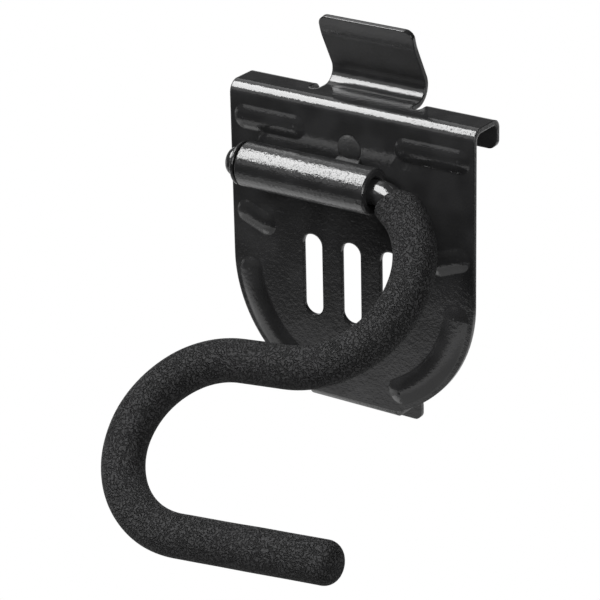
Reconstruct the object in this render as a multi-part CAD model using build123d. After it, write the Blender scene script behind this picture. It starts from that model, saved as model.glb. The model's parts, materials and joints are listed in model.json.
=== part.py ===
from build123d import *
import os
from math import cos, radians, sin, tan

# Garage utility hook: a coated S-shaped rod that swings in a barrel welded to a stamped plate.
# Origin: the plate's back face, behind the pivot. X runs along the pivot, +Y into the wall, +Z up.
# All lengths are in millimetres and all angles in degrees.

# Plate and the channel that hooks over the upper rail
plate_width = 68.0
sheet = 1.25
rail_pitch = 76.2
seat_height = 16.3
channel_gap = 8.7
channel_depth = 6.35
front_fold_radius = 3.0
rear_fold_radius = 2.5
channel_lip_corner = 2.2
round_overrun = 0.4

# Spring tongue above the channel
tongue_width = 26.0
tongue_height = 17.85
tongue_overhang = 4.95
tongue_lean = 27.0
tongue_tip_lean = 13.0
tongue_tip_length = 3.9
tongue_root_radius = 3.4
tongue_tip_radius = 16.0
tongue_corner = 2.2
notch_width = 2.6
notch_inset = 4.3

# Toe that hooks over the lower rail
toe_width = 24.8
toe_gap = 10.0
toe_drop = 5.0
toe_front_radius = 2.5
toe_rear_radius = 1.5
toe_corner = 1.8

# Raised stiffening beads
bead_side_slope = 27.0
bead_foot_fillet = 0.6
top_bead_length = 20.4
top_bead_width = 6.1
top_bead_edge_gap = 1.1
top_bead_drop = 6.85
radial_bead_length = 11.6
radial_bead_width = 5.8
radial_bead_inner_gap = 10.6
radial_bead_angle = 21.0
arc_bead_width = 6.6
arc_bead_edge_gap = 1.3
arc_bead_start = 7.0
arc_bead_end = 62.0

# Lightening slots
slot_count = 3
slot_width = 5.6
slot_length = 21.0
slot_pitch = 11.0
slot_drop = 1.2

# Pivot barrel and its weld beads
barrel_length = 36.5
barrel_diameter = 11.1
barrel_inset = 8.3
barrel_rim_chamfer = 0.4
bore_mouth_chamfer = 0.7
pivot_clearance = 0.1
weld_length = 6.6
weld_root_radius = 1.3
weld_root_height = 3.3
weld_puddle_height = 6.9

# Rod and its bends
rod_diameter = 6.35
swing_angle = 42.0
exit_gap = 0.5
exit_bend_radius = 9.9
bare_bend_angle = 28.3
coated_bend_angle = 5.0
shoulder_length = 3.0
upper_bend_radius = 23.8
upper_bend_angle = 140.2
middle_leg_length = 11.7
lower_bend_radius = 22.0
lower_bend_angle = 179.8
tip_leg_length = 42.0

# Rubber coating on the rod
coating_diameter = 10.0
coating_end_wall = 3.0
coating_lip = 0.9
coating_tip_fillet = 4.2
grip_gap = 0.02

# Retaining cap pressed on the rod's plain end
cap_play = 0.45
cap_flange_diameter = 10.7
cap_flange_thickness = 0.9
cap_flange_chamfer = 0.25
cap_wall = 0.45
cap_dome_height = 3.3
cap_dome_fillet = 2.0
cap_bore_depth = 3.2

# How near two places must be to count as the same
same_place = 0.01

# Places worked out from the sizes above
half_width = plate_width / 2
top_z = seat_height + sheet
channel_lip_z = seat_height - channel_depth
channel_back_y = channel_gap + sheet
notch_front_y = channel_gap - notch_inset
lower_seat_z = seat_height - rail_pitch
toe_tip_z = lower_seat_z - toe_drop
toe_bend_z = lower_seat_z + toe_front_radius
round_centre_z = lower_seat_z - round_overrun + half_width
barrel_radius = barrel_diameter / 2
rod_radius = rod_diameter / 2
coating_radius = coating_diameter / 2
bore_radius = rod_radius + pivot_clearance
grip_radius = rod_radius + grip_gap
axis_y = -sheet - barrel_radius
barrel_left_x = -half_width + barrel_inset
barrel_right_x = barrel_left_x + barrel_length
bend_start_x = barrel_right_x + exit_gap
cap_seat_x = barrel_left_x - cap_play
rod_left_x = cap_seat_x - cap_bore_depth
hook_plane = Plane(
    origin=(0, axis_y, 0),
    x_dir=(1, 0, 0),
    z_dir=(0, sin(radians(swing_angle)), -cos(radians(swing_angle))),
)


def bent_strip(corners, radii, width, side):
    """A strip of sheet, bent along a side profile in Y and Z and extruded across X."""
    with BuildLine() as profile:
        FilletPolyline(*corners, radius=radii)
    outline = offset(profile.line, amount=sheet, side=side)
    section = Plane.YZ * make_face(outline.edges())
    return extrude(section, amount=width / 2, both=True)


def front_prism(sketch, front_y, back_y):
    """A sketch seen from the front, extruded from one depth to another."""
    return extrude(Plane.XZ.offset(-back_y) * sketch, amount=back_y - front_y)


def mirrored(shapes):
    """The shapes together with their mirror images across the middle of the plate."""
    return shapes + [mirror(shape, about=Plane.YZ) for shape in shapes]


def bead_section(width, depth):
    """Section of a domed bead, a slice of a circle, whose skin lies at a depth below the front."""
    front_radius = width / 2 / sin(radians(bead_side_slope))
    radius = front_radius - depth
    circle = Pos(0, -front_radius * cos(radians(bead_side_slope))) * Circle(radius)
    return circle & Pos(0, radius - depth) * Rectangle(2 * radius, 2 * radius)


def dome(width, depth, turn):
    """A round dome about the Z axis, or the share of it to the left that a smaller turn gives."""
    section = bead_section(width, depth)
    half = section & Pos(width / 2, 0) * Rectangle(width, width)
    return revolve(Plane.YZ * half, axis=Axis.Z, revolution_arc=turn)


def straight_bead(length, width, depth):
    """A straight bead along X with round ends, domed toward +Z."""
    run = (length - width) / 2
    middle = extrude(Plane.YZ * bead_section(width, depth), amount=run, both=True)
    end = dome(width, depth, 180)
    return middle + Pos(-run, 0) * end + Pos(run, 0) * Rot(0, 0, 180) * end


def arc_bead(depth):
    """The bead that follows the edge of the round foot, about the Z axis."""
    ring = Pos(half_width - arc_bead_edge_gap - arc_bead_width / 2, 0)
    section = ring * Plane.XZ * bead_section(arc_bead_width, depth)
    middle = revolve(section, axis=Axis.Z, revolution_arc=arc_bead_end - arc_bead_start)
    end = dome(arc_bead_width, depth, 180)
    low_end = Rot(0, 0, -arc_bead_end) * ring * Rot(0, 0, 90) * end
    high_end = Rot(0, 0, -arc_bead_start) * ring * Rot(0, 0, -90) * end
    return Rot(0, 0, -arc_bead_end) * middle + low_end + high_end


def bead_solids(depth):
    """All the beads of the plate, standing toward the front, with their skins at a depth."""
    top_x = half_width - top_bead_edge_gap - top_bead_length / 2
    radial_x = half_width - radial_bead_inner_gap + radial_bead_length / 2
    foot = Pos(0, round_centre_z)
    beads = [
        Pos(top_x, seat_height - top_bead_drop) * straight_bead(top_bead_length, top_bead_width, depth),
        foot * Rot(0, 0, radial_bead_angle) * Pos(radial_x, 0)
        * straight_bead(radial_bead_length, radial_bead_width, depth),
        foot * arc_bead(depth),
    ]
    return mirrored([Plane.XZ.offset(sheet) * bead for bead in beads])


def edges_in_plane(shape, depth):
    """Edges that lie flat at one depth behind the front."""
    found = []
    for edge in shape.edges():
        box = edge.bounding_box()
        if abs(box.min.Y - depth) < same_place and abs(box.max.Y - depth) < same_place:
            found.append(edge)
    return found


def beaded_sheet():
    """Flat sheet with the raised beads and the matching hollows behind them."""
    margin = 4 * sheet
    height = top_z - round_centre_z + half_width
    area = Pos(0, top_z - height / 2) * Rectangle(plate_width + margin, height + margin)
    flat = front_prism(area, -sheet, 0)
    raised = flat + bead_solids(0)
    rim = edges_in_plane(flat, -sheet)
    feet = [edge for edge in edges_in_plane(raised, -sheet) if not is_rim(edge, rim)]
    return fillet(feet, bead_foot_fillet) - bead_solids(sheet)


def is_rim(edge, rim):
    """Whether an edge is one of the outer edges of the blank."""
    return any((edge.center() - other.center()).length < same_place for other in rim)


def plate_outline():
    """Outline of the plate from the front, with the toe's share of the foot left out."""
    straight_height = top_z - round_centre_z
    outline = Pos(0, round_centre_z + straight_height / 2) * Rectangle(plate_width, straight_height)
    outline += Pos(0, round_centre_z) * Circle(half_width)
    return outline - Pos(0, toe_bend_z - half_width / 2) * Rectangle(toe_width, half_width)


def slot_plans():
    """The upright slots in the middle of the plate."""
    first_x = -slot_pitch * (slot_count - 1) / 2
    slot = Rot(0, 0, 90) * SlotOverall(slot_length, slot_width)
    places = [Pos(first_x + slot_pitch * index, round_centre_z - slot_drop) for index in range(slot_count)]
    return [place * slot for place in places]


def channel():
    """The fold over the upper rail and its lip, with the top of the plate in front."""
    corners = [
        (-sheet, top_z - front_fold_radius - sheet),
        (-sheet, top_z),
        (channel_back_y, top_z),
        (channel_back_y, channel_lip_z),
    ]
    strip = bent_strip(corners, [front_fold_radius, rear_fold_radius], plate_width, Side.RIGHT)
    lip_corners = [
        edge
        for edge in strip.edges().filter_by(Axis.Y)
        if abs(edge.center().Z - channel_lip_z) < same_place and edge.center().Y > channel_gap / 2
    ]
    return fillet(lip_corners, channel_lip_corner) - tongue_clearance()


def tongue_clearance():
    """What is cut from the channel to free the tongue, with round-ended notches."""
    round_y = notch_front_y + notch_width / 2
    back_y = channel_back_y + sheet
    opening_width = tongue_width + 2 * notch_width
    cut = Pos(0, (round_y + back_y) / 2) * Rectangle(opening_width, back_y - round_y)
    for side in (-1, 1):
        cut += Pos(side * (tongue_width + notch_width) / 2, round_y) * Circle(notch_width / 2)
    return extrude(Plane.XY.offset(channel_lip_z - sheet) * cut, amount=channel_depth + 3 * sheet)


def tongue():
    """The spring tongue that rises behind the channel and leans forward."""
    root_y = channel_gap + tongue_overhang
    tip_z = top_z + tongue_height
    bend_z = tip_z - tongue_tip_length
    bend_y = root_y - (bend_z - top_z) * tan(radians(tongue_lean))
    tip_y = bend_y - tongue_tip_length * tan(radians(tongue_tip_lean))
    corners = [(notch_front_y, top_z), (root_y, top_z), (bend_y, bend_z), (tip_y, tip_z)]
    strip = bent_strip(corners, [tongue_root_radius, tongue_tip_radius], tongue_width, Side.RIGHT)
    tip_corners = [
        edge
        for edge in strip.faces().sort_by(Axis.Z)[-1].edges()
        if abs(edge.length - sheet) < same_place
    ]
    return fillet(tip_corners, tongue_corner)


def toe():
    """The joggled toe: back under the plate, then down behind the lower rail."""
    corners = [
        (-sheet, toe_bend_z + sheet),
        (-sheet, lower_seat_z),
        (toe_gap, lower_seat_z),
        (toe_gap, toe_tip_z),
    ]
    strip = bent_strip(corners, [toe_front_radius, toe_rear_radius], toe_width, Side.LEFT)
    tip_corners = strip.faces().sort_by(Axis.Z)[0].edges().filter_by(Axis.Y)
    return fillet(tip_corners, toe_corner)


def back_plate():
    """The stamped plate: beaded and slotted sheet, channel, tongue and toe in one piece."""
    below_fold = Pos(0, top_z - front_fold_radius - plate_width) * Rectangle(2 * plate_width, 2 * plate_width)
    outline = plate_outline() & below_fold
    flat = beaded_sheet() & front_prism(outline, -plate_width, sheet)
    for plan in slot_plans():
        flat -= front_prism(plan, -2 * sheet, sheet)
    return flat + channel() + tongue() + toe()


def pivot_barrel():
    """The tube welded across the plate, tangent to its front."""
    tube = Plane.YZ.offset(barrel_left_x) * Pos(axis_y, 0) * Circle(barrel_radius)
    tube = extrude(tube, amount=barrel_length)
    tube = chamfer(tube.edges().filter_by(GeomType.CIRCLE), barrel_rim_chamfer)
    bore = Plane.YZ.offset(barrel_left_x) * Pos(axis_y, 0) * Circle(bore_radius)
    tube -= extrude(bore, amount=barrel_length)
    circles = tube.edges().filter_by(GeomType.CIRCLE)
    mouths = [edge for edge in circles if abs(edge.radius - bore_radius) < same_place]
    return chamfer(mouths, bore_mouth_chamfer)


def weld_beads():
    """The two weld beads that join the barrel to the plate. The upper one has run up the plate."""
    root = Plane.YZ * Pos(-sheet, weld_root_height) * Circle(weld_root_radius)
    root = extrude(root, amount=weld_length / 2, both=True)
    root &= front_prism(Pos(0, weld_root_height) * Circle(weld_length / 2), axis_y, -sheet)
    barrel_side = extrude(Plane.YZ * Pos(axis_y, 0) * Circle(barrel_radius), amount=weld_length, both=True)
    root -= barrel_side
    puddle = Plane.XZ.offset(sheet) * Pos(0, weld_puddle_height) * dome(weld_length, 0, 360)
    return Part() + [root + puddle, mirror(root, about=Plane.XY)]


def rod_path(first, last):
    """Centre line of the rod in the hook's own plane, from one named stage to another."""
    steps = [
        ("pivot", bend_start_x - rod_left_x, 0, 0),
        ("bare bend", 0, exit_bend_radius, bare_bend_angle),
        ("coated bend", 0, exit_bend_radius, coated_bend_angle),
        ("shoulder", shoulder_length, 0, 0),
        ("upper bend", 0, upper_bend_radius, upper_bend_angle),
        ("middle leg", middle_leg_length, 0, 0),
        ("lower bend", 0, lower_bend_radius, -lower_bend_angle),
        ("tip leg", tip_leg_length - coating_end_wall, 0, 0),
        ("tip", coating_end_wall, 0, 0),
    ]
    names = [step[0] for step in steps]
    wanted = range(names.index(first), names.index(last) + 1)
    place = Vector(rod_left_x, 0)
    heading = 0.0
    edges = []
    for index, (name, length, radius, turn) in enumerate(steps):
        ahead = Vector(cos(radians(heading)), sin(radians(heading)))
        if turn:
            side = 1 if turn > 0 else -1
            centre = place + Vector(-ahead.Y, ahead.X) * radius * side
            edge = CenterArc(centre, radius, heading - 90 * side, turn)
            place = edge @ 1
            heading += turn
        else:
            edge = Line(place, place + ahead * length)
            place = place + ahead * length
        if index in wanted:
            edges.append(edge)
    return hook_plane * Wire(edges)


def swept_rod(path, radius):
    """A round bar along a path."""
    start = Plane(origin=path @ 0, z_dir=path % 0)
    return sweep(start * Circle(radius), path=path)


def hook_rod():
    """The bent steel rod, from the cap through the barrel and inside the coating."""
    return swept_rod(rod_path("pivot", "tip leg"), rod_radius)


def rim_around(bar, place):
    """The round edges of a bar that are centred on a place."""
    circles = bar.edges().filter_by(GeomType.CIRCLE)
    return [edge for edge in circles if (edge.arc_center - place).length < same_place]


def coating_mouth():
    """The start of the coating, which swells from a thin lip to its full thickness."""
    bend = rod_path("coated bend", "coated bend")
    shoulder = rod_path("shoulder", "shoulder")
    lip_radius = rod_radius + coating_lip
    bend_share = bend.length / (bend.length + shoulder.length)
    bend_end_radius = lip_radius + (coating_radius - lip_radius) * bend_share
    sections = [
        Plane(origin=bend @ 0, z_dir=bend % 0) * Circle(lip_radius),
        Plane(origin=bend @ 1, z_dir=bend % 1) * Circle(bend_end_radius),
        Plane(origin=shoulder @ 1, z_dir=shoulder % 1) * Circle(coating_radius),
    ]
    return loft(sections, ruled=True)


def rod_coating():
    """The rubber coating over all of the rod past its bare bend, with a closed round tip."""
    path = rod_path("upper bend", "tip")
    sleeve = coating_mouth() + swept_rod(path, coating_radius)
    sleeve = fillet(rim_around(sleeve, path @ 1), coating_tip_fillet)
    return sleeve - swept_rod(rod_path("coated bend", "tip leg"), grip_radius)


def retaining_cap():
    """The push-on cap that keeps the rod in the barrel."""
    flange = Plane.YZ.offset(cap_seat_x - cap_flange_thickness) * Circle(cap_flange_diameter / 2)
    flange = extrude(flange, amount=cap_flange_thickness)
    flange = chamfer(flange.edges().filter_by(GeomType.CIRCLE), cap_flange_chamfer)
    dome_x = cap_seat_x - cap_flange_thickness - cap_dome_height
    dome = extrude(Plane.YZ.offset(dome_x) * Circle(rod_radius + cap_wall), amount=cap_dome_height)
    dome = fillet(dome.faces().sort_by(Axis.X)[0].edges(), cap_dome_fillet)
    bore = extrude(Plane.YZ.offset(rod_left_x) * Circle(grip_radius), amount=cap_bore_depth)
    return Pos(0, axis_y, 0) * (flange + dome - bore)


parts = {
    "back_plate": back_plate(),
    "pivot_barrel": pivot_barrel(),
    "weld_beads": weld_beads(),
    "hook_rod": hook_rod(),
    "rod_coating": rod_coating(),
    "retaining_cap": retaining_cap(),
}

os.makedirs("parts", exist_ok=True)
for name, shape in parts.items():
    shape.label = name
    export_step(shape, "parts/" + name + ".step")
    box = shape.bounding_box()
    print(name, len(shape.solids()), "solid(s)", round(shape.volume, 1), "mm3", box.min, box.max)
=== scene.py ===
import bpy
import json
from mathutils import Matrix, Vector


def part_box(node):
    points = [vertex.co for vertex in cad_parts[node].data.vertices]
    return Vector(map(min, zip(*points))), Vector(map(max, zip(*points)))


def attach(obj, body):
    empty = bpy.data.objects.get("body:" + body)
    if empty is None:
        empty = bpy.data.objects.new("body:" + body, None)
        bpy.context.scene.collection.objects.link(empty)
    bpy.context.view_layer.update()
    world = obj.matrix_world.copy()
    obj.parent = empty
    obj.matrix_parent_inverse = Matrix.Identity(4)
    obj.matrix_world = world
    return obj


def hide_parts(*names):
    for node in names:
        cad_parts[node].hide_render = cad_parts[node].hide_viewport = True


bl_info = {
    "name": "Swinging garage utility hook",
    "version": (1, 0, 0),
    "blender": (4, 5, 0),
    "location": "3D View > Sidebar > Utility Hook",
    "description": "Finishes the powder-coated bracket and the rubber-coated hook, and lights them",
    "category": "Object",
}

import json
from math import atan, cos, pi, radians, sin, tan

import bmesh
import bpy
from bpy.props import FloatProperty, FloatVectorProperty, PointerProperty
from mathutils import Matrix, Vector, noise

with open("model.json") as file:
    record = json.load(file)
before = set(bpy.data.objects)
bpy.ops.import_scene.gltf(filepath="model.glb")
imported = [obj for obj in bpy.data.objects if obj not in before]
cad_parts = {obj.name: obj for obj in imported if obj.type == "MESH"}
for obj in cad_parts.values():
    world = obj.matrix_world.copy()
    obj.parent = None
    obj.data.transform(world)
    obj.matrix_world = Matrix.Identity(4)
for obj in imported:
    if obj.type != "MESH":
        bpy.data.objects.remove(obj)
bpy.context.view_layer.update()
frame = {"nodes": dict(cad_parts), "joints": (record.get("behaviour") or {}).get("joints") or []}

MM = 0.001

# The hook's own plane: it holds the pivot's line and hangs down from level by the swing angle.
SWING_JOINT = next(joint for joint in frame["joints"] if joint["name"] == "hook_swing")
PIVOT = Vector(SWING_JOINT["pos_m"])
SWING_ANGLE = radians(42)
ALONG_BARREL = Vector((1, 0, 0))
OUT_FROM_PLATE = Vector((0, -cos(SWING_ANGLE), -sin(SWING_ANGLE)))

# The rod inside the coating. The coating's mouth lies part of the way round the first bend.
BORE_RADIUS = 3.195 * MM
ROD_END_COVER = 2.2 * MM
MOUTH_BEND_START = 11.3 * MM
MOUTH_BEND_RADIUS = 9.9 * MM
MOUTH_TURN = radians(28.3)

# Each run of the coated rod, from mouth to tip: its length if straight, its bend radius and turn.
COATED_RUNS = (
    (0.0, MOUTH_BEND_RADIUS, radians(5.0)),
    (3.0 * MM, 0.0, 0.0),
    (0.0, 23.8 * MM, radians(140.2)),
    (11.7 * MM, 0.0, 0.0),
    (0.0, 22.0 * MM, radians(-179.8)),
    (41.2 * MM, 0.0, 0.0),
)

# How finely the coating's skin is drawn.
RING_POINTS = 72
BORE_STEPS = 60
TIP_STEPS = 10
MOUTH_STATIONS = [0.05 * MM, 0.15 * MM, 0.3 * MM, 0.5 * MM, 0.75 * MM]
BODY_START = 1.2 * MM
BODY_SPACING = 0.75 * MM

# How the coating's thickness wanders, and how narrow its blunt lip is inside the first bend.
WANDER_LENGTH = 9 * MM
WANDER_START = 3 * MM
LIP_SHARPNESS = 1.5

# The tongue's dull face, as depths below the tongue's tip.
DULL_FACE_BOTTOM = (15.5 * MM, 13.5 * MM)
DULL_FACE_TOP = (5.5 * MM, 4.0 * MM)
TONGUE_DULLNESS = 0.4

# The powder coat's short ripples and slow changes, as shares of its long ripples.
SHORT_RIPPLE_LENGTH = 0.32
SHORT_RIPPLE_HEIGHT = 0.3
FLOW_LENGTH = 9
FLOW_TO_ROUGHNESS = 0.06
RIPPLE_TO_ROUGHNESS = 0.05
FLOW_LIGHTENING = 1.5

# The rubber's grain, as shares of its grain size, and how much darker the painted shade makes its
# creases.
SWIRL_LENGTH = 1.5
LUMP_LENGTH = 0.9
PATCH_LENGTH = 10
CREASE_WIDTH = 0.11
CREASE_PAINTED_SHADE = 0.5
LUMP_TO_ROUGHNESS = 0.2
RUBBER_SPECULAR = 0.04

# Depth of each piece's ripples, as a share of the powder coat's, and the welds' own roughness.
PLATE_RIPPLE = 0.65
BARREL_RIPPLE = 1.4
ROD_RIPPLE = 0.35
WELD_RIPPLE = 2.2
WELD_ROUGHNESS = 0.62

# The camera's sensor and nearest sight, and the picture in pixels, which gives the field of view.
SENSOR_WIDTH = 36
NEAREST_SIGHT = 0.01
PICTURE_HALF_WIDTH = 300
FOCAL_LENGTH = 2942.37

# The two plain cards beside the barrel's softbox.
LOW_CARD_PLACE = (-0.2, -0.06)
LOW_CARD_RISE = 0.01
LOW_CARD_SIZE = (0.14, 0.22)
FILL_CARD_DIRECTION = Vector((0.75, -0.6, 0.25)).normalized()
FILL_CARD_DISTANCE = 0.9
FILL_CARD_SIZE = 0.5

# The floor, and how far the hook's mirror image of it reaches.
FLOOR_HALF_WIDTH = 4.0
PALE_FLOOR = (0.85, 0.85, 0.85, 1)
UNSEEN_FLOOR = (0.1, 0.1, 0.1, 1)
WHITE = (1, 1, 1, 1)
BACKDROP_EDGE = (0.78, 0.96)
FLOOR_BEHIND = (0.2, 0.5)
BRIGHT_RING = (0.32, 0.46)
INNER_GLOW = 0.6
TABLE_FADE = 1.5
MIRROR_FADE = 1.45


class PowderCoatSettings(bpy.types.PropertyGroup):
    """Glossy black powder coat on the steel pieces."""

    colour: FloatVectorProperty(
        name="Colour",
        description="Colour of the powder coat",
        subtype="COLOR",
        size=3,
        min=0.0,
        max=1.0,
        default=(0.019, 0.019, 0.0195),
    )
    roughness: FloatProperty(
        name="Roughness",
        description="Roughness of the cured coat between its ripples",
        subtype="FACTOR",
        min=0.0,
        max=1.0,
        default=0.09,
    )
    ripple_size: FloatProperty(
        name="Ripple size",
        description="Length of one ripple of the orange peel",
        unit="LENGTH",
        min=0.0001,
        default=0.9 * MM,
    )
    ripple_depth: FloatProperty(
        name="Ripple depth",
        description="Height of the orange peel's ripples",
        unit="LENGTH",
        min=0.0,
        default=0.07 * MM,
    )
    edge_radius: FloatProperty(
        name="Edge radius",
        description="Rounding that the coat gives to the sheet's cut edges",
        unit="LENGTH",
        min=0.0,
        default=0.5 * MM,
    )


class CoatingSettings(bpy.types.PropertyGroup):
    """Wrinkled black rubber over the hook's rod."""

    radius: FloatProperty(
        name="Radius",
        description="Radius of the coated rod",
        unit="LENGTH",
        min=0.0035,
        default=5.1 * MM,
    )
    tip_rounding: FloatProperty(
        name="Tip rounding",
        description="Rounding of the coating's closed tip",
        unit="LENGTH",
        min=0.0,
        default=3.6 * MM,
    )
    inner_swell: FloatProperty(
        name="Inner swell",
        description="Length over which the coating swells to full thickness inside the bend",
        unit="LENGTH",
        min=0.0001,
        default=0.7 * MM,
    )
    outer_swell: FloatProperty(
        name="Outer swell",
        description="Length over which the coating swells to full thickness outside the bend",
        unit="LENGTH",
        min=0.0001,
        default=5.0 * MM,
    )
    unevenness: FloatProperty(
        name="Unevenness",
        description="How much the dipped skin's thickness wanders",
        unit="LENGTH",
        min=0.0,
        default=0.05 * MM,
    )
    colour: FloatVectorProperty(
        name="Colour",
        description="Colour of the rubber",
        subtype="COLOR",
        size=3,
        min=0.0,
        max=1.0,
        default=(0.063, 0.063, 0.064),
    )
    roughness: FloatProperty(
        name="Roughness",
        description="Roughness of the rubber's skin",
        subtype="FACTOR",
        min=0.0,
        max=1.0,
        default=0.56,
    )
    grain_size: FloatProperty(
        name="Grain size",
        description="Distance from one wrinkle of the grain to the next",
        unit="LENGTH",
        min=0.0001,
        default=0.57 * MM,
    )
    grain_depth: FloatProperty(
        name="Grain depth",
        description="Height of the bump that shades the wrinkles, more than their real depth",
        unit="LENGTH",
        min=0.0,
        default=0.85 * MM,
    )


class StageSettings(bpy.types.PropertyGroup):
    """Camera, lamps and floor."""

    azimuth: FloatProperty(
        name="Camera azimuth",
        description="How far round to the viewer's right the camera stands",
        subtype="ANGLE",
        default=radians(33.838),
    )
    elevation: FloatProperty(
        name="Camera elevation",
        description="How far above the horizon the camera stands",
        subtype="ANGLE",
        default=radians(22.223),
    )
    roll: FloatProperty(
        name="Camera roll",
        description="Turn of the camera about its line of sight",
        subtype="ANGLE",
        default=radians(0.86),
    )
    distance: FloatProperty(
        name="Camera distance",
        description="Distance from the camera to the point it stands off from",
        unit="LENGTH",
        default=696.4 * MM,
    )
    stand_off_height: FloatProperty(
        name="Stand-off height",
        description="Height of the point that the camera stands off from, on the plate's front",
        unit="LENGTH",
        default=-16.47 * MM,
    )
    aim_left: FloatProperty(
        name="Aim left",
        description="How far left of that point the camera aims",
        unit="LENGTH",
        default=11.97 * MM,
    )
    aim_below: FloatProperty(
        name="Aim below",
        description="How far below that point the camera aims",
        unit="LENGTH",
        default=13.90 * MM,
    )
    field_of_view: FloatProperty(
        name="Field of view",
        description="Angle that the picture's width covers",
        subtype="ANGLE",
        default=2 * atan(PICTURE_HALF_WIDTH / FOCAL_LENGTH),
    )
    floor_drop: FloatProperty(
        name="Floor drop",
        description="Depth of the floor below the pivot",
        unit="LENGTH",
        default=0.30,
    )
    softbox_distance: FloatProperty(
        name="Softbox distance",
        description="Distance from the pivot to the softbox's ends",
        unit="LENGTH",
        min=0.1,
        default=1.0,
    )
    softbox_width: FloatProperty(
        name="Softbox width",
        description="Width of the softbox's face",
        unit="LENGTH",
        min=0.01,
        default=0.3,
    )
    softbox_low: FloatProperty(
        name="Softbox low end",
        description="Angle above the front at which the softbox begins",
        subtype="ANGLE",
        default=radians(43),
    )
    softbox_high: FloatProperty(
        name="Softbox high end",
        description="Angle above the front at which the softbox ends, past overhead",
        subtype="ANGLE",
        default=radians(95),
    )
    softbox_radiance: FloatProperty(
        name="Softbox radiance",
        description="Brightness of the softbox's face, where 1 is white",
        min=0.0,
        default=16.2,
    )
    card_low: FloatProperty(
        name="Card low end",
        description="Angle above the front at which the pale card under the softbox begins",
        subtype="ANGLE",
        default=radians(15),
    )
    card_high: FloatProperty(
        name="Card high end",
        description="Angle above the front at which the pale card past the softbox ends",
        subtype="ANGLE",
        default=radians(140),
    )
    card_radiance: FloatProperty(
        name="Card radiance",
        description="Brightness of the pale cards at the softbox's ends, where 1 is white",
        min=0.0,
        default=1.0,
    )
    low_card_radiance: FloatProperty(
        name="Low card radiance",
        description="Brightness of the card that lies on the floor at the left, where 1 is white",
        min=0.0,
        default=0.85,
    )
    fill_radiance: FloatProperty(
        name="Fill radiance",
        description="Brightness of the large card at the right, where 1 is white",
        min=0.0,
        default=5.0,
    )
    mirrored_radius: FloatProperty(
        name="Mirrored radius",
        description="How far round the hook the steel mirrors the floor as white",
        unit="LENGTH",
        min=0.0,
        default=0.46,
    )
    surround: FloatProperty(
        name="Surround",
        description="Brightness of the room around the set, which lights the hook",
        min=0.0,
        default=0.07,
    )
    table_radius: FloatProperty(
        name="Table radius",
        description="How far round the hook the floor is shown with its real light and shadow",
        unit="LENGTH",
        min=0.0,
        default=0.22,
    )


class Socket:
    """An output socket on which arithmetic adds Math nodes."""

    def __init__(self, graph, output):
        self.graph = graph
        self.output = output

    def math(self, operation, *operands):
        """One Math node on these operands."""
        inputs = dict(enumerate(operands))
        return self.graph.node("ShaderNodeMath", {"operation": operation}, inputs)

    def __add__(self, other):
        return self.math("ADD", self, other)

    def __radd__(self, other):
        return self.math("ADD", other, self)

    def __sub__(self, other):
        return self.math("SUBTRACT", self, other)

    def __rsub__(self, other):
        return self.math("SUBTRACT", other, self)

    def __mul__(self, other):
        return self.math("MULTIPLY", self, other)

    def __rmul__(self, other):
        return self.math("MULTIPLY", other, self)


class Graph:
    """The nodes of one material or world."""

    def __init__(self, owner):
        owner.use_nodes = True
        self.tree = owner.node_tree
        self.tree.nodes.clear()

    def node(self, kind, settings=None, inputs=None, output=0):
        """Adds a node, sets it, feeds its sockets and gives back one of its outputs."""
        made = self.tree.nodes.new(kind)
        for name, value in (settings or {}).items():
            setattr(made, name, value)
        for name, value in (inputs or {}).items():
            if isinstance(value, Socket):
                self.tree.links.new(value.output, made.inputs[name])
            else:
                made.inputs[name].default_value = value
        if not made.outputs:
            return made
        return Socket(self, made.outputs[output])

    def ramp(self, factor, low, high):
        """A clamped rise from 0 to 1 between two values."""
        inputs = {"Value": factor, "From Min": low, "From Max": high}
        return self.node("ShaderNodeMapRange", {"interpolation_type": "SMOOTHSTEP"}, inputs)

    def noise(self, place, size, detail, roughness=0.5):
        """Noise whose ripples have a real size in metres."""
        inputs = {"Vector": place, "Scale": 1 / size, "Detail": detail, "Roughness": roughness}
        return self.node("ShaderNodeTexNoise", None, inputs)

    def place(self):
        """The surface point in the object's own metres."""
        return self.node("ShaderNodeTexCoord", output="Object")

    def mix(self, factor, first, second):
        """A colour between two others."""
        inputs = {"Factor": factor, 6: first, 7: second}
        return self.node("ShaderNodeMix", {"data_type": "RGBA"}, inputs, 2)

    def finish(self, shader):
        """Sends a shader to the surface output."""
        return self.node("ShaderNodeOutputMaterial", None, {"Surface": shader})


def sheltered_face(graph, place):
    """1 on the tongue's face behind its bend, where little powder reaches, and 0 elsewhere."""
    height = graph.node("ShaderNodeSeparateXYZ", None, {0: place}, "Z")
    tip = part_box("back_plate")[1].z
    above_root = graph.ramp(height, *(tip - depth for depth in DULL_FACE_BOTTOM))
    return above_root * (1 - graph.ramp(height, *(tip - depth for depth in DULL_FACE_TOP)))


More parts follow.
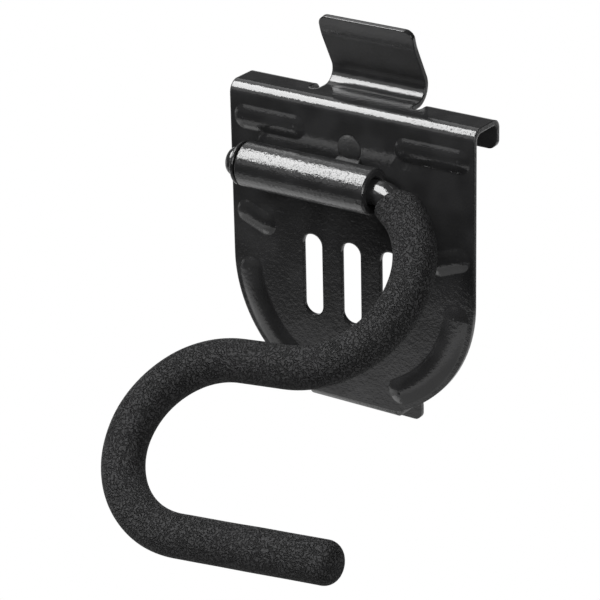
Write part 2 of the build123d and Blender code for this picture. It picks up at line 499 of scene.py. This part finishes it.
def powder_coat(settings, name, ripple, roughness, dull=0.0):
    """Glossy black powder coat: long ripples with short ones on top, and a gloss that wanders."""
    material = bpy.data.materials.new(name)
    graph = Graph(material)
    place = graph.place()
    long_ripple = graph.noise(place, settings.ripple_size, 2.0, 0.55)
    short_ripple = graph.noise(place, settings.ripple_size * SHORT_RIPPLE_LENGTH, 1.0)
    flow = graph.noise(place, settings.ripple_size * FLOW_LENGTH, 1.0)
    peel = long_ripple + short_ripple * SHORT_RIPPLE_HEIGHT
    edge = graph.node("ShaderNodeBevel", {"samples": 8}, {"Radius": settings.edge_radius})
    depth = settings.ripple_depth * ripple
    bump = {"Strength": 1.0, "Distance": depth, "Height": peel, "Normal": edge}
    normal = graph.node("ShaderNodeBump", None, bump)
    gloss = roughness + (flow - 0.5) * FLOW_TO_ROUGHNESS
    gloss += (short_ripple - 0.5) * RIPPLE_TO_ROUGHNESS
    if dull:
        gloss += sheltered_face(graph, place) * dull
    dark = (*settings.colour, 1.0)
    light = (*[channel * FLOW_LIGHTENING for channel in settings.colour], 1.0)
    colour = graph.mix(graph.ramp(flow, 0.35, 0.65), dark, light)
    inputs = {"Base Color": colour, "Roughness": gloss, "Normal": normal, "IOR": 1.5}
    graph.finish(graph.node("ShaderNodeBsdfPrincipled", None, inputs))
    return material


def wrinkled_rubber(settings):
    """Matte black rubber whose skin is cut up by short winding creases, with painted shade
    darkening the creases and the low places between the lumps.
    """
    material = bpy.data.materials.new("wrinkled_black_rubber")
    graph = Graph(material)
    place = graph.place()
    swirl = graph.noise(place, settings.grain_size * SWIRL_LENGTH, 1.0)
    lumps = graph.noise(place, settings.grain_size * LUMP_LENGTH, 2.0, 0.6)
    patches = graph.noise(place, settings.grain_size * PATCH_LENGTH, 1.0)
    from_crease = swirl - 0.5
    crease = graph.ramp(from_crease.math("ABSOLUTE", from_crease), 0.0, CREASE_WIDTH)
    height = crease * (0.3 + patches * 0.8) + lumps
    bump = {"Strength": 1.0, "Distance": settings.grain_depth, "Height": height}
    # Painted shade: the colour darkens in the creases and lightens on the lumps, standing in for
    # the shade in the wrinkles.
    crease_painted_shade = (*[channel * CREASE_PAINTED_SHADE for channel in settings.colour], 1.0)
    inputs = {
        "Base Color": graph.mix(crease * (0.5 + lumps), crease_painted_shade, (*settings.colour, 1.0)),
        "Roughness": settings.roughness + (lumps - 0.5) * LUMP_TO_ROUGHNESS,
        "Normal": graph.node("ShaderNodeBump", None, bump),
        "Specular IOR Level": RUBBER_SPECULAR,
    }
    graph.finish(graph.node("ShaderNodeBsdfPrincipled", None, inputs))
    return material


def cover(node, material):
    """Gives one CAD node its finish."""
    mesh = frame["nodes"][node].data
    mesh.materials.clear()
    mesh.materials.append(material)


class HOOK_OT_coat_steel(bpy.types.Operator):
    """Powder coat the plate, barrel, welds, rod and cap"""

    bl_idname = "hook.coat_steel"
    bl_label = "Powder coat the steel"

    def execute(self, context):
        settings = context.scene.hook_powder_coat
        gloss = settings.roughness
        flat = powder_coat(settings, "plate_powder_coat", PLATE_RIPPLE, gloss, TONGUE_DULLNESS)
        rippled = powder_coat(settings, "barrel_powder_coat", BARREL_RIPPLE, gloss)
        smooth = powder_coat(settings, "smooth_powder_coat", ROD_RIPPLE, gloss)
        clotted = powder_coat(settings, "weld_powder_coat", WELD_RIPPLE, WELD_ROUGHNESS)
        cover("back_plate", flat)
        cover("pivot_barrel", rippled)
        cover("weld_beads", clotted)
        cover("hook_rod", smooth)
        cover("retaining_cap", smooth)
        return {"FINISHED"}


def rod_at(distance):
    """Place and heading of the rod in the hook's plane, at a distance from the coating's mouth."""
    place = MOUTH_BEND_RADIUS * Vector((sin(MOUTH_TURN), 1 - cos(MOUTH_TURN)))
    place += Vector((MOUTH_BEND_START, 0))
    heading = MOUTH_TURN
    for length, radius, turn in COATED_RUNS:
        done = min(distance, length or radius * abs(turn))
        if turn:
            bend = radius if turn > 0 else -radius
            centre = place + bend * Vector((-sin(heading), cos(heading)))
            heading += done / bend
            place = centre + bend * Vector((sin(heading), -cos(heading)))
        else:
            place = place + done * Vector((cos(heading), sin(heading)))
        distance -= done
        if distance <= 0:
            break
    return place, heading


def skin_radius(settings, distance, around):
    """Radius of the skin, which swells from a lip at the mouth and is round at the tip."""
    outside = (0.5 - 0.5 * cos(around)) ** LIP_SHARPNESS
    swell = settings.inner_swell + (settings.outer_swell - settings.inner_swell) * outside
    left = max(1 - distance / swell, 0)
    radius = BORE_RADIUS + (settings.radius - BORE_RADIUS) * (1 - left * left)
    into_tip = distance - coated_length() + settings.tip_rounding
    if into_tip > 0:
        radius -= settings.tip_rounding - max(settings.tip_rounding**2 - into_tip**2, 0) ** 0.5
    return radius


def coated_length():
    """Length of the coating along the rod, from its mouth to its tip."""
    return sum(length or radius * abs(turn) for length, radius, turn in COATED_RUNS)


def skin_stations(settings):
    """Distances from the mouth at which the skin's rings stand, closer at the mouth and the tip."""
    body_end = coated_length() - settings.tip_rounding
    steps = round((body_end - BODY_START) / BODY_SPACING)
    body = [BODY_START + (body_end - BODY_START) * step / steps for step in range(steps + 1)]
    turns = [pi / 2 * step / TIP_STEPS for step in range(1, TIP_STEPS + 1)]
    return MOUTH_STATIONS + body + [body_end + settings.tip_rounding * sin(turn) for turn in turns]


def rubber_coating(settings):
    """The dipped coating as one closed skin: up the bore, round the mouth and along to the tip."""
    rod_end = coated_length() - ROD_END_COVER
    bore = [(rod_end * (1 - step / BORE_STEPS), True) for step in range(BORE_STEPS + 1)]
    rings = bore + [(distance, False) for distance in skin_stations(settings)]
    across = ALONG_BARREL.cross(OUT_FROM_PLATE)
    shell = bmesh.new()
    maps = shell.loops.layers.uv.new("UVMap")
    loops = []
    for distance, in_bore in rings:
        place, heading = rod_at(distance)
        centre = PIVOT + ALONG_BARREL * place.x + OUT_FROM_PLATE * place.y
        inward = OUT_FROM_PLATE * cos(heading) - ALONG_BARREL * sin(heading)
        ring = []
        for step in range(RING_POINTS):
            around = 2 * pi * step / RING_POINTS
            out = inward * cos(around) + across * sin(around)
            radius = BORE_RADIUS if in_bore else skin_radius(settings, distance, around)
            if not in_bore:
                wander = noise.noise((centre + out * radius) / WANDER_LENGTH)
                radius += settings.unevenness * wander * min(distance / WANDER_START, 1)
            ring.append(shell.verts.new(centre + out * radius))
        loops.append(ring)
    for index in range(len(loops) - 1):
        here, after = loops[index], loops[index + 1]
        for step in range(RING_POINTS):
            following = (step + 1) % RING_POINTS
            face = shell.faces.new((here[step], here[following], after[following], after[step]))
            face.smooth = True
            corners = ((step, index), (step + 1, index), (step + 1, index + 1), (step, index + 1))
            for loop, (across_step, along_step) in zip(face.loops, corners):
                loop[maps].uv = (across_step / RING_POINTS, along_step / (len(loops) - 1))
    shell.faces.new(loops[0])
    shell.faces.new(loops[-1])
    bmesh.ops.recalc_face_normals(shell, faces=shell.faces)
    mesh = bpy.data.meshes.new("rubber_coating")
    shell.to_mesh(mesh)
    shell.free()
    coating = bpy.data.objects.new("rubber_coating", mesh)
    bpy.context.collection.objects.link(coating)
    return coating


class HOOK_OT_coat_rod(bpy.types.Operator):
    """Cover the rod in wrinkled rubber"""

    bl_idname = "hook.coat_rod"
    bl_label = "Rubber coat the hook"

    def execute(self, context):
        settings = context.scene.hook_coating
        coating = rubber_coating(settings)
        coating.data.materials.append(wrinkled_rubber(settings))
        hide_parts("rod_coating")
        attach(coating, "hook")
        return {"FINISHED"}


def look_axes(azimuth, elevation, roll):
    """Right, up and back of a camera that stands at these angles."""
    back = Vector((sin(azimuth) * cos(elevation), -cos(azimuth) * cos(elevation), sin(elevation)))
    level = Vector((cos(azimuth), sin(azimuth), 0))
    upright = back.cross(level)
    right = cos(roll) * level - sin(roll) * upright
    return right, back.cross(right), back


def add_camera(settings):
    """The camera at the picture's angle."""
    right, up, back = look_axes(settings.azimuth, settings.elevation, settings.roll)
    stand_off = Vector((0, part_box("pivot_barrel")[1].y, settings.stand_off_height))
    place = stand_off + back * settings.distance
    aim = stand_off - right * settings.aim_left - up * settings.aim_below
    line = (place - aim).normalized()
    side = up.cross(line).normalized()
    data = bpy.data.cameras.new("picture_camera")
    data.sensor_width = SENSOR_WIDTH
    data.lens = SENSOR_WIDTH / 2 / tan(settings.field_of_view / 2)
    data.clip_start = NEAREST_SIGHT
    camera = bpy.data.objects.new("picture_camera", data)
    turn = Matrix((side, line.cross(side), line)).transposed()
    camera.matrix_world = Matrix.Translation(place) @ turn.to_4x4()
    bpy.context.collection.objects.link(camera)
    bpy.context.scene.camera = camera


def lamp_direction(settings, angle):
    """Direction of a lamp whose mirror image runs along the barrel, at an angle above the front."""
    across = -look_axes(settings.azimuth, settings.elevation, 0)[2].x
    reach = (1 - across * across) ** 0.5
    return Vector((across, -reach * cos(angle), reach * sin(angle)))


def add_lamp(name, place, upright, facing, width, height, radiance):
    """A flat soft lamp, unseen by the camera, whose face has a given brightness."""
    data = bpy.data.lights.new(name, "AREA")
    data.shape = "RECTANGLE"
    data.size = width
    data.size_y = height
    data.energy = radiance * pi * width * height
    lamp = bpy.data.objects.new(name, data)
    turn = Matrix((upright.cross(-facing), upright, -facing)).transposed()
    lamp.matrix_world = Matrix.Translation(place) @ turn.to_4x4()
    lamp.visible_camera = False
    bpy.context.collection.objects.link(lamp)


def add_softbox(name, settings, low, high, radiance):
    """A tall lamp that spans two angles above the front."""
    bottom = PIVOT + lamp_direction(settings, low) * settings.softbox_distance
    top = PIVOT + lamp_direction(settings, high) * settings.softbox_distance
    place = (bottom + top) / 2
    upright = (top - bottom).normalized()
    facing = (PIVOT - place - (PIVOT - place).project(upright)).normalized()
    add_lamp(name, place, upright, facing, settings.softbox_width, (top - bottom).length, radiance)


def shown_rays(graph):
    """1 for the camera's rays, and 1 for those, for mirrored ones and for ones through glass."""
    names = ("Is Camera Ray", "Is Glossy Ray", "Is Transmission Ray")
    seen, glossy, clear = (graph.node("ShaderNodeLightPath", output=name) for name in names)
    shown = seen + (glossy + clear)
    return seen, shown.math("MINIMUM", shown, 1.0)


def toward(graph, vector, direction):
    """How far a vector goes in a direction."""
    inputs = {0: vector, 1: direction}
    return graph.node("ShaderNodeVectorMath", {"operation": "DOT_PRODUCT"}, inputs, "Value")


def add_world(settings):
    """A grey room with a white backdrop behind the hook, which the hook mirrors too."""
    world = bpy.data.worlds.new("grey_room")
    bpy.context.scene.world = world
    graph = Graph(world)
    seen, shown = shown_rays(graph)
    back = look_axes(settings.azimuth, settings.elevation, 0)[2]
    outward = graph.node("ShaderNodeTexCoord", output="Generated")
    behind = graph.ramp(toward(graph, outward, -back), *BACKDROP_EDGE)
    white = seen.math("MAXIMUM", seen, shown * behind)
    grey = (settings.surround, settings.surround, settings.surround, 1)
    colour = graph.mix(white, grey, WHITE)
    background = graph.node("ShaderNodeBackground", None, {"Color": colour, "Strength": 1.0})
    graph.node("ShaderNodeOutputWorld", None, {"Surface": background})


def add_floor(settings):
    """A wide pale floor, with its real shadow round the hook and plain white further off."""
    mesh = bpy.data.meshes.new("pale_floor")
    shell = bmesh.new()
    bmesh.ops.create_grid(shell, x_segments=1, y_segments=1, size=FLOOR_HALF_WIDTH)
    shell.to_mesh(mesh)
    shell.free()
    floor = bpy.data.objects.new("pale_floor", mesh)
    floor.location.z = -settings.floor_drop
    bpy.context.collection.objects.link(floor)
    material = bpy.data.materials.new("pale_floor")
    graph = Graph(material)
    seen, shown = shown_rays(graph)
    place = graph.place()
    distance = graph.node("ShaderNodeVectorMath", {"operation": "LENGTH"}, {0: place}, "Value")
    table, mirrored = settings.table_radius, settings.mirrored_radius
    far = graph.ramp(distance, table, table * TABLE_FADE)
    near = 1 - graph.ramp(distance, mirrored, mirrored * MIRROR_FADE)
    beyond = (-sin(settings.azimuth), cos(settings.azimuth), 0)
    behind = graph.ramp(toward(graph, place, beyond), *FLOOR_BEHIND)
    glow = INNER_GLOW + graph.ramp(distance, *BRIGHT_RING) * (1 - INNER_GLOW)
    white = seen * far + (shown - seen) * glow * near.math("MAXIMUM", near, behind)
    colour = graph.mix(seen, UNSEEN_FLOOR, PALE_FLOOR)
    lit = graph.node("ShaderNodeBsdfDiffuse", None, {"Color": colour})
    backdrop = graph.node("ShaderNodeEmission", None, {"Color": WHITE, "Strength": 1.0})
    graph.finish(graph.node("ShaderNodeMixShader", None, {0: white, 1: lit, 2: backdrop}))
    mesh.materials.append(material)


def add_barrel_lamps(settings):
    """The softbox that the barrel mirrors along its length, with a pale card at each end."""
    low, high = settings.softbox_low, settings.softbox_high
    pale = settings.card_radiance
    add_softbox("softbox", settings, low, high, settings.softbox_radiance)
    add_softbox("front_card", settings, settings.card_low, low, pale)
    add_softbox("rear_card", settings, high, settings.card_high, pale)


def add_cards(settings):
    """A small card on the floor at the left, and a large one at the right."""
    up = Vector((0, 0, 1))
    left = Vector((*LOW_CARD_PLACE, LOW_CARD_RISE - settings.floor_drop))
    along = Vector((0, 1, 0))
    add_lamp("low_card", left, along, up, *LOW_CARD_SIZE, settings.low_card_radiance)
    right = FILL_CARD_DIRECTION
    upright = right.cross(right.cross(up)).normalized()
    place = PIVOT + right * FILL_CARD_DISTANCE
    size = FILL_CARD_SIZE
    add_lamp("fill_card", place, upright, -right, size, size, settings.fill_radiance)


class HOOK_OT_set_stage(bpy.types.Operator):
    """Set up the floor, the lamps and the camera"""

    bl_idname = "hook.set_stage"
    bl_label = "Set the stage"

    def execute(self, context):
        settings = context.scene.hook_stage
        context.scene.view_settings.view_transform = "Standard"
        add_world(settings)
        add_floor(settings)
        add_barrel_lamps(settings)
        add_cards(settings)
        add_camera(settings)
        return {"FINISHED"}


class HOOK_PT_panel(bpy.types.Panel):
    """Everything that finishes the hook"""

    bl_idname = "HOOK_PT_panel"
    bl_label = "Utility Hook"
    bl_space_type = "VIEW_3D"
    bl_region_type = "UI"
    bl_category = "Utility Hook"

    def draw(self, context):
        scene = context.scene
        groups = (scene.hook_powder_coat, scene.hook_coating, scene.hook_stage)
        steps = (HOOK_OT_coat_steel, HOOK_OT_coat_rod, HOOK_OT_set_stage)
        for group, step in zip(groups, steps):
            box = self.layout.box()
            for name in group.__annotations__:
                box.prop(group, name)
            box.operator(step.bl_idname)


CLASSES = (
    PowderCoatSettings,
    CoatingSettings,
    StageSettings,
    HOOK_OT_coat_steel,
    HOOK_OT_coat_rod,
    HOOK_OT_set_stage,
    HOOK_PT_panel,
)


def register():
    for cls in CLASSES:
        bpy.utils.register_class(cls)
    bpy.types.Scene.hook_powder_coat = PointerProperty(type=PowderCoatSettings)
    bpy.types.Scene.hook_coating = PointerProperty(type=CoatingSettings)
    bpy.types.Scene.hook_stage = PointerProperty(type=StageSettings)


def unregister():
    del bpy.types.Scene.hook_stage
    del bpy.types.Scene.hook_coating
    del bpy.types.Scene.hook_powder_coat
    for cls in reversed(CLASSES):
        bpy.utils.unregister_class(cls)


def main():
    """Finishes every piece and sets the stage."""
    register()
    bpy.ops.hook.coat_steel()
    bpy.ops.hook.coat_rod()
    bpy.ops.hook.set_stage()


if __name__ == "__main__":
    main()
